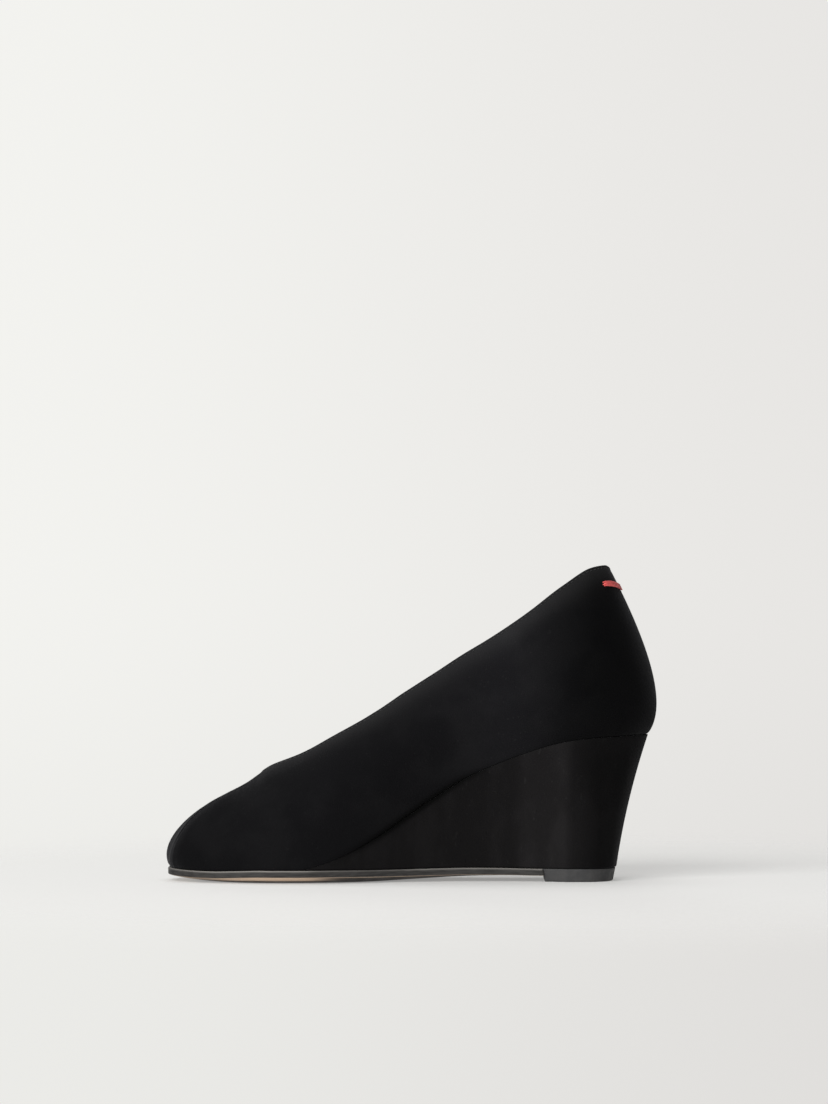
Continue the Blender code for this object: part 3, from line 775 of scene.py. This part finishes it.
def makeSuedeShell():
    thickness = upperLook["suede"]
    below = {side: rowsBelow(side, thickness / 2) for side in sides}
    vOf = {side: v for side, (v, fade) in below.items()}
    normals = bothNormals(vOf)
    turns = np.linspace(0, math.pi, 9)[None, 1:-1, None]
    outer, rim, inner = {}, {}, {}
    # painted light ("rim") and painted shade ("shade") for the suede's colour
    values = {"rim": {}, "shade": {}}
    for side, (v, fade) in below.items():
        plain, normal = wallPoints(side, columns, v), normals[side]
        values["rim"][side], values["shade"][side] = paintedLighting(side, plain)
        outer[side] = plain + normal * relief(side, plain)[..., None]
        inner[side] = plain[:, ::2] - normal[:, ::2] * thickness
        for face in (outer[side], inner[side]):  # the foot reaches down to what it stands on
            foot = np.linalg.norm(face - face[:, :1], axis=2)
            face[..., 2] -= upperLook["reachDown"] * bell(foot, upperLook["reachWidth"])
        top = v[:, -1:]
        up = unit(wallPoints(side, columns, top) - wallPoints(side, columns, top - 0.01))
        start, end = outer[side][:, -1:], inner[side][:, -1:]
        middle, half = (start + end) / 2, (start - end) / 2
        reach = (thickness / 2 * fade)[:, None, None]
        rim[side] = middle + half * np.cos(turns) + up * reach * np.sin(turns)
    return wallPiece("suede_upper", outer, rim, inner, suede, values)


def makeLiningShell():
    start = upperLook["suede"] + upperLook["liningGap"]
    end = upperLook["suede"] + upperLook["lining"]
    vOf = {side: rowsBelow(side, upperLook["liningDrop"])[0] for side in sides}
    normals = bothNormals(vOf)
    outer, rim, inner = {}, {}, {}
    for side, v in vOf.items():
        plain, normal = wallPoints(side, columns, v), normals[side]
        outer[side] = (plain - normal * start)[:, ::2]
        inner[side] = (plain - normal * end)[:, ::2]
        rim[side] = outer[side][:, -1:] * 0.5 + inner[side][:, -1:] * 0.5
    return wallPiece("lining", outer, rim, inner, liningLeather)


def carryOver(piece, node):  # the node of the solids that the piece stands for is hidden
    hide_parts(node)


carryOver(makeSuedeShell(), "upper")
carryOver(makeLiningShell(), "upper")
print("upper ready")

wedgeLook = {"topEdge": 0.0005, "groundEdge": 0.0007, "tip": 0.0004, "shade": 0.8}
soleLook = {
    "edge": 0.00050,
    "leanRun": 0.004, "breastGap": 0.6,      # the lean at the breast, and share of the glue line
    "contactShadow": 0.0016, "contactRun": 0.0004, "contactMost": 0.95,    # painted contact shadow near the floor
    "paintRun": 2.5,                         # rows in which the paint ends
    "faceRun": 0.10,                         # share of the half width
    "wearAndHighlight": (1, 1, 0.9, 0.45, 0.1),          # wear and painted highlight, row by row down the edge
}
topPieceLook = {"edge": 0.0006, "topEdge": 0.0003}
sockLook = {"thickness": 0.0020, "edge": 0.0007, "underEdge": 0.0002, "inset": 0.0017}


# Rows down the side of a slab: share of the way down, how far in, and height. A quarter circle
# at each edge, and between them a straight run that is drawn in by hollow at half its height.
def sideRows(top, bottom, topEdge, bottomEdge, hollow, margin=(0.0, 0.0), steps=12):
    height = top - bottom
    topEdge, bottomEdge = (np.minimum(edge, height * 0.45) for edge in (topEdge, bottomEdge))
    turn = np.linspace(0, math.pi / 2, 5)[None, :]
    firstIn = topEdge[:, None] * (1 - np.sin(turn))
    firstDown = topEdge[:, None] * (1 - np.cos(turn))
    lastIn = bottomEdge[:, None] * (1 - np.cos(turn))
    lastDown = height[:, None] - bottomEdge[:, None] * (1 - np.sin(turn))
    between = np.linspace(0, 1, steps + 1)[None, 1:-1]
    run = (height - topEdge - bottomEdge)[:, None]
    middleDown = topEdge[:, None] + run * between
    down = np.hstack([firstDown, middleDown, lastDown])
    inwards = np.hstack([firstIn, 0 * middleDown, lastIn])
    share = down / height[:, None]
    outwards = margin[0] * (1 - share) + margin[1] * share
    inwards = inwards - outwards + hollow[:, None] * 4 * share * (1 - share)
    return share, inwards, top[:, None] - down


# Solid between two sheets: each row is a ring over the top, down the inner side, under the
# bottom and up the outer side. Where the two sides meet, the ring closes to a line.
def slabPiece(name, s, kinds, heights, side, material, closeFirst=False, closeLast=False,
              move=None, values=None):
    share, inwards, z = side
    edges = {}
    for foot in sides:
        plan = 0
        for kind, part in zip(kinds, (1 - share, share)):
            normal = planNormals(kind, foot, s)[:, None, :]
            at = outlineAt(kind, foot, s)[:, None, :] - normal * inwards[..., None]
            plan = plan + at * part[..., None]
        edges[foot] = move(plan) if move else plan
    across = np.sin(np.linspace(-math.pi / 2, math.pi / 2, 25))
    mix = (across[None, :, None] + 1) / 2
    sheets = []
    for row, height in zip((0, -1), heights):
        medial, lateral = (edges[foot][:, row] for foot in sides)
        plan = lateral[:, None] * (1 - mix) + medial[:, None] * mix
        met = np.linalg.norm(medial - lateral, axis=1) < 1e-5
        at = np.where(met[:, None], 1, across[None, :])
        sheets.append(np.dstack([plan, height(plan[..., 0] / shoe["length"], at)]))
    upright = {foot: np.dstack([edges[foot], z])[:, 1:-1] for foot in sides}
    ring = np.concatenate([sheets[0], upright["medial"], sheets[1][:, ::-1],
                           upright["lateral"][:, ::-1]], axis=1)
    ring[..., 0] -= originShift
    count, around = ring.shape[:2]
    faces = gridFaces(count, around, True).reshape(-1, 4).tolist()
    width, tall = sheets[0].shape[1], upright["medial"].shape[1]
    for end, use in ((0, closeFirst), (count - 1, closeLast)):
        if use:
            top = end * around + np.arange(width)
            under = (end * around + width + tall + np.arange(width))[::-1]
            faces += np.stack([top[:-1], top[1:], under[1:], under[:-1]], axis=1).tolist()
            inner = (end * around + width + np.arange(tall)).tolist()
            outer = (end * around + 2 * width + tall + np.arange(tall)).tolist()
            faces.append([int(top[-1]), *inner, int(under[-1])])
            faces.append([int(under[0]), *outer, int(top[0])])
    painted = {key: value(ring, width, tall).ravel() for key, value in (values or {}).items()}
    return finishMesh(name, ring.reshape(-1, 3), faces, material, painted)


def edgeHeights(kind, s, height):
    return height(outlineAt(kind, "medial", s)[:, 0] / shoe["length"], np.ones(len(s)))


def wedgeTop(along, across):
    return lastBottom(along, across) - shoe["gap"]


def wedgeBottom(along, across):
    return soleTop(along, across) + shoe["gap"]


def shadedTop(ring, width, tall):  # dark under the drawn-in part of the upper
    below = ring[:, :1, 2] - ring[..., 2]
    under = upperLook["footShade"] * drawnIn(ring[..., 0], upperLook["shadeSpare"])
    return under * bell(below, upperLook["shadeWidth"] * wedgeLook["shade"])


def makeWedgeCover():
    fine = np.linspace(knots[shoe["breast"]], throatAt, 3000)
    along = outlineAt("foot", "medial", fine)[:, 0] / shoe["length"]
    thick = wedgeTop(along, 0 * along) - wedgeBottom(along, 0 * along)
    end = fine[np.argmax(thick < wedgeLook["tip"])]
    s = zones((0.004, 8), (end, 210))
    top, bottom = edgeHeights("foot", s, wedgeTop), edgeHeights("tread", s, wedgeBottom)
    seat = smoothRows(knots, level("seat", outlines["along"])[:, None], s)[:, 0]
    side = sideRows(top, bottom, wedgeLook["topEdge"] + 0 * s, wedgeLook["groundEdge"] + 0 * s,
                    shoe["wedgeHollow"] * seat, steps=44)
    return slabPiece("wedge_cover", s, ("foot", "tread"), (wedgeTop, wedgeBottom), side,
                     coverSuede, closeLast=True, values={"shade": shadedTop})


# The sole's colours by their place on its ring: over the top, down a side, underneath, and up
# the other side
def roundRing(ring, top, side, under):
    return np.broadcast_to(np.concatenate([top, side, under, side[::-1]]), ring.shape[:2])


def paintedEdge(ring, width, tall):  # the top and the edge
    side = np.clip((tall - np.arange(tall)) / soleLook["paintRun"], 0, 1)
    return roundRing(ring, np.ones(width), side, np.zeros(width))


def wornAndLitRim(ring, width, tall):  # lighter above the edge: wear and a painted highlight
    side = np.zeros(tall)
    side[:len(soleLook["wearAndHighlight"])] = soleLook["wearAndHighlight"]
    return roundRing(ring, np.ones(width), side, np.zeros(width))


def underFace(ring, width, tall):  # the bare face
    face = np.clip((1 - np.abs(np.linspace(-1, 1, width))) / soleLook["faceRun"], 0, 1)
    return roundRing(ring, np.zeros(width), np.zeros(tall), face)


# painted contact shadow: the underside darker near the floor
def nearFloor(ring, width, tall):
    near = (soleLook["contactShadow"] - ring[..., 2]) / soleLook["contactRun"]
    under = roundRing(ring, np.zeros(width), np.zeros(tall), np.ones(width))
    return np.clip(near, 0, soleLook["contactMost"]) * under


def makeOutsole():
    first = knots[shoe["breast"]]
    s = first + zones((roundLength - first - 0.006, 190), (roundLength - first, 18))
    top, bottom = edgeHeights("tread", s, soleTop), edgeHeights("tread", s, soleBottom)
    rounded = soleLook["edge"] + 0 * s
    margin = (shoe["soleMargin"], shoe["soleMargin"])
    side = sideRows(top, bottom, rounded, rounded, 0 * s, margin, 7)

    def leaningEnd(plan):  # the end leans back to the top piece, as that one's front does
        down = 1 - side[2][0] / shoe["topPieceHeight"]
        lean = shoe["topPieceTaper"] * np.clip(down, 0, 1) + shoe["gap"] * soleLook["breastGap"]
        plan = plan.copy()
        plan[..., 0] -= lean[None, :] * np.exp(-(s - first) / soleLook["leanRun"])[:, None]
        return plan

    return slabPiece("leather_outsole", s, ("tread", "tread"), (soleTop, soleBottom), side,
                     soleLeather, closeFirst=True, move=leaningEnd,
                     values={"paint": paintedEdge, "rim": wornAndLitRim, "under": underFace,
                             "contactShadow": nearFloor})


def makeTopPiece():
    last = knots[shoe["breast"]]
    s = zones((0.004, 8), (last, 80))
    top = shoe["topPieceHeight"] + 0 * s
    margin = (-shoe["topPieceInset"], -shoe["topPieceInset"] - shoe["topPieceTaper"])
    topEdge, edge = (topPieceLook[name] + 0 * s for name in ("topEdge", "edge"))
    side = sideRows(top, 0 * s, topEdge, edge, 0 * s, margin, 8)
    breastAt = outlines["treadAlong"][shoe["breast"]] * shoe["length"] - shoe["gap"]
    taper = shoe["topPieceTaper"] * side[0]

    def straightFront(plan):  # the last row is moved to the breast line, and those near it too
        front = breastAt - taper[-1]
        ease = (np.linspace(0, 1, len(plan)) ** 8)[:, None]
        plan = plan.copy()
        plan[..., 0] += (front - plan[-1, :, 0])[None, :] * ease
        return plan

    def flatTop(along, across):
        return shoe["topPieceHeight"] + 0 * along

    def floorLevel(along, across):
        return 0 * along

    return slabPiece("rubber_top_piece", s, ("tread", "tread"), (flatTop, floorLevel), side,
                     rubber, closeLast=True, move=straightFront)


def sockTop(along, across):
    return lastBottom(along, across) + sockLook["thickness"]


def makeSock():
    s = zones((0.004, 8), (roundLength - 0.006, 220), (roundLength, 16))
    top, bottom = edgeHeights("foot", s, sockTop), edgeHeights("foot", s, lastBottom)
    margin = (-sockLook["inset"], -sockLook["inset"])
    edge, underEdge = (sockLook[name] + 0 * s for name in ("edge", "underEdge"))
    side = sideRows(top, bottom, edge, underEdge, 0 * s, margin, 4)
    return slabPiece("insole_sock", s, ("foot", "foot"), (sockTop, lastBottom), side,
                     liningLeather)


carryOver(makeWedgeCover(), "wedge")
carryOver(makeOutsole(), "outsole")
carryOver(makeTopPiece(), "top_piece")
carryOver(makeSock(), "insole")
print("wedge, sole, top piece and sock ready")


# Tubes along many short paths at once: paths is tubes by points by 3, radii tubes by points.
# Each point has a ring at right angles to the path; the ends are left open.
def tubes(paths, radii, up, corners=6):
    along = np.empty_like(paths)
    along[:, 1:-1] = paths[:, 2:] - paths[:, :-2]
    along[:, 0], along[:, -1] = paths[:, 1] - paths[:, 0], paths[:, -1] - paths[:, -2]
    along = unit(along)
    side = unit(np.cross(along, np.broadcast_to(up, paths.shape)))
    over = np.cross(side, along)
    turn = np.linspace(0, 2 * math.pi, corners, endpoint=False)
    rings = (paths[:, :, None] + radii[..., None, None] * (
        side[:, :, None] * np.cos(turn)[None, None, :, None]
        + over[:, :, None] * np.sin(turn)[None, None, :, None]))
    count, points = paths.shape[:2]
    quads = gridFaces(points, corners, True).reshape(-1, 4)
    stack = (quads[None] + (np.arange(count) * points * corners)[:, None, None]).reshape(-1, 4)
    return rings.reshape(-1, 3), stack.tolist()


stitchLook = {
    "pitch": 0.0023, "length": 0.0016, "radius": 0.00019, "lift": 0.00002,
    "start": 0.0006, "end": 0.003,               # from the back seam, and before the throat
    # along a stitch, in radii: how deep it dips into the suede, and how thick it is
    "dips": (1.6, 0.3, 0, 0, 0, 0.3, 1.6), "swells": (0.05, 0.8, 1, 1, 1, 0.8, 0.05),
}


def onWall(side, s, v):  # a point of the plain wall and its normal, for each s with its v
    flat, high, shape = s.ravel(), v.reshape(-1, 1), (*s.shape, 3)
    return wallPoints(side, flat, high).reshape(shape), wallNormals(side, flat, high).reshape(shape)


# Stitches a fixed drop below the topline, at even steps along it, on both sides of the shoe
def makeStitches(inside):
    look = stitchLook
    verts, faces = [], []
    depth = upperLook["suede"] + upperLook["lining"] if inside else upperLook["stitchGroove"]
    for side in sides:
        s = np.linspace(look["start"], throatAt - look["end"], 1500)
        v = 1 - upperLook["stitchDrop"] / topStretch(side, s)
        line = wallPoints(side, s, v[:, None])[:, 0]
        run = np.concatenate([[0], np.cumsum(np.linalg.norm(np.diff(line, axis=0), axis=1))])
        middle = (np.arange(int(run[-1] / look["pitch"])) + 0.5) * look["pitch"]
        reach = np.linspace(-0.5, 0.5, len(look["dips"]))
        at = np.interp(middle[:, None] + reach[None, :] * look["length"], run, s)
        paths, normal = onWall(side, at, np.interp(at, s, v))
        out = (-1 if inside else 1) * (look["lift"] - np.array(look["dips"]) * look["radius"])
        paths = paths - normal * depth + normal * out[None, :, None]
        radii = np.broadcast_to(np.array(look["swells"]) * look["radius"], at.shape)
        points, quads = tubes(paths, radii, normal)
        faces += (np.array(quads) + sum(len(part) for part in verts)).tolist()
        verts.append(points)
    return np.vstack(verts), faces


def threadPiece(name, shape, material):
    piece = finishMesh(name, *shape, material, repair=closeEnds)


threadPiece("topline_stitches", makeStitches(False), blackThread)
threadPiece("lining_stitches", makeStitches(True), blackThread)

tackLook = {
    "end": -0.0112,       # how far forward it comes, on both sides
    "endHeight": 0.1414,
    "seamHeight": 0.1395,
    "radius": 0.00038,
    "lift": 0.00055,
    "spacing": 1.86,      # of the strands, in radii
    "thin": 0.3,          # they come together at the ends
    "shifts": (0.0002, -0.00045, 0.00035, -0.00025),   # of the strands' ends
    "dipFrom": 0.92,      # share of the half length where a strand starts to dip into its hole
    "dip": 2.4,           # in radii
    "taper": 0.45,
}


# v where the wall of a side is at some height, at each s: a few steps of Newton's method
def wallAtHeight(side, s, height):
    v = np.full(len(s), 0.88)
    for step in range(8):
        here = wallPoints(side, s, v[:, None])[:, 0, 2]
        rise = wallPoints(side, s, v[:, None] + 0.001)[:, 0, 2] - here
        v = v + 0.001 * (height - here) / rise
    return v


# Reinforcing stitch over the back seam: level strands side by side, from hole to hole.
# Each lies on the suede at its own height, dips at both ends, and sags a little at the seam.
def makeTack():
    look = tackLook
    s = np.linspace(0, 0.03, 600)
    middle = wallPoints("medial", s, wallAtHeight("medial", s, look["endHeight"])[:, None])[:, 0]
    whole = s[np.argmax(middle[:, 0] > look["end"])]
    print("tack reaches", round(float(whole), 4), "round the heel")
    reach = np.linspace(-1, 1, 81)
    strands = len(look["shifts"])
    spacing = ((strands - 1) / 2 - np.arange(strands)) * look["spacing"]
    around = reach[None, :] * (whole + np.array(look["shifts"])[:, None])
    sag = (look["endHeight"] - look["seamHeight"]) * (1 - reach ** 2) ** 4
    swell = 1 - look["thin"] * np.abs(reach) ** 6
    heights = look["endHeight"] - sag[None, :] + spacing[:, None] * look["radius"] * swell
    paths = np.empty((*around.shape, 3))
    normals = np.empty_like(paths)
    for side, here in (("medial", reach >= 0), ("lateral", reach < 0)):
        at = np.abs(around[:, here])
        v = wallAtHeight(side, at.ravel(), heights[:, here].ravel())
        paths[:, here], normals[:, here] = onWall(side, at, v)
    past = np.clip((np.abs(reach) - look["dipFrom"]) / (1 - look["dipFrom"]), 0, 1)
    lift = look["lift"] - look["dip"] * look["radius"] * past ** 2
    paths += normals * lift[None, :, None]
    radii = look["radius"] * (1 - look["taper"] * past ** 2)
    return tubes(paths, np.broadcast_to(radii, around.shape), normals, 12)


threadPiece("bar_tack", makeTack(), redThread)
print("stitches ready")

studio = {
    "floor": (0.61, 0.606, 0.593),
    "glow": (0.272, 0.270, 0.264),       # the table is lit from below as well
    "fadeFrom": 0.10, "fadeTo": 0.50,    # the floor gives way to the backdrop
    "left": (0.896, 0.894, 0.866),       # backdrop, seen from the inner side of the shoe
    "right": (0.800, 0.787, 0.768),
    "sideways": (-0.10, 0.09),           # ways seen from its right to its left
    "low": 0.93,                         # of the backdrop's brightness, below the eye
    "upright": (-0.09, 0.0),
    "fill": 0.15,
    "around": 96, "middle": 0.025, "level": -0.00005,     # of the floor
}


def makeFloor():  # a disc that fades out into the backdrop
    turn = np.linspace(0, 2 * math.pi, studio["around"], endpoint=False)
    radii = np.linspace(0, 1, 5) * studio["fadeTo"]
    radii[0] = studio["middle"]
    disc = np.stack([np.outer(radii, np.cos(turn)), np.outer(radii, np.sin(turn)),
                     np.full((len(radii), len(turn)), studio["level"])], axis=2)
    faces = gridFaces(len(radii), len(turn), True).reshape(-1, 4).tolist()
    mesh = bpy.data.meshes.new("floor")
    mesh.from_pydata(disc.reshape(-1, 3), [], faces + [list(range(len(turn)))[::-1]])
    floor = Finish("pale floor", studio["floor"], 0.9)
    distance = floor.nodes.new("ShaderNodeVectorMath")
    distance.operation = "LENGTH"
    reach = floor.feed(distance, {0: floor.place}).outputs["Value"]
    fade = floor.limits(reach, studio["fadeFrom"], studio["fadeTo"], (1.0, 0.0))
    floor.set({"Specular IOR Level": 0.1, "Emission Color": studio["glow"],
               "Emission Strength": 1.0, "Alpha": fade})
    mesh.materials.append(floor.material)
    addObject("floor", mesh)


lamps = {  # place, what it is aimed at, size and power
    "key": ((1.3, 2.3, 1.3), (0.08, 0, 0.06), 2.4, 80),
    "front": ((0.1, 3.3, 0.6), (0.08, 0, 0.03), 1.6, 15),
    "top": ((0.1, -0.3, 2.2), (0.08, 0, 0.05), 1.6, 16),
    "behind": ((0.3, -2.6, 1.2), (0.08, 0, 0.08), 1.4, 10),
}


def areaLight(name, place, aim, size, power):
    lamp = bpy.data.lights.new(name, "AREA")
    lamp.shape, lamp.size, lamp.energy = "DISK", size, power
    light = addObject(name, lamp)
    light.location = place
    way = np.array(aim) - np.array(place)
    light.rotation_euler = (math.acos(-way[2] / np.linalg.norm(way)), 0,
                            math.atan2(way[1], way[0]) - math.pi / 2)


# The camera sees a backdrop that is a little darker to one side and below; the shoe is lit by
# an even fill
def makeWorld():
    world = bpy.data.worlds.new("studio")
    world.use_nodes = True
    sky = Shading(world.node_tree)
    sky.nodes.clear()
    way = sky.add("SeparateXYZ", {0: sky.add("TexCoord", {}).outputs["Generated"]}).outputs
    sideways = sky.limits(way["X"], *studio["sideways"])
    upright = sky.limits(way["Z"], *studio["upright"])
    colour = sky.times(sky.mix(sideways, studio["right"], studio["left"]),
                       sky.mix(upright, (studio["low"],) * 3, (1, 1, 1)))
    seen = sky.add("Background", {"Color": colour}).outputs[0]
    fill = sky.add("Background", {"Color": (1, 1, 1), "Strength": studio["fill"]}).outputs[0]
    toCamera = sky.add("LightPath", {}).outputs["Is Camera Ray"]
    both = sky.add("MixShader", {0: toCamera, 1: fill, 2: seen}).outputs[0]
    sky.add("OutputWorld", {0: both})
    bpy.context.scene.world = world


makeFloor()
makeWorld()
for name, lamp in lamps.items():
    areaLight(name, *lamp)
bpy.context.scene.view_settings.view_transform = "Standard"

view = {"place": (0.0786, 2.6, 0.1566), "seenHeight": 0.5273, "sensor": 36}
camera = bpy.data.cameras.new("camera")
camera.sensor_fit, camera.sensor_height = "VERTICAL", view["sensor"]
camera.lens = view["sensor"] * view["place"][1] / view["seenHeight"]
cameraPiece = addObject("camera", camera)
cameraPiece.location = view["place"]
cameraPiece.rotation_euler = (math.pi / 2, 0, math.pi)
bpy.context.scene.camera = cameraPiece
print("studio ready")
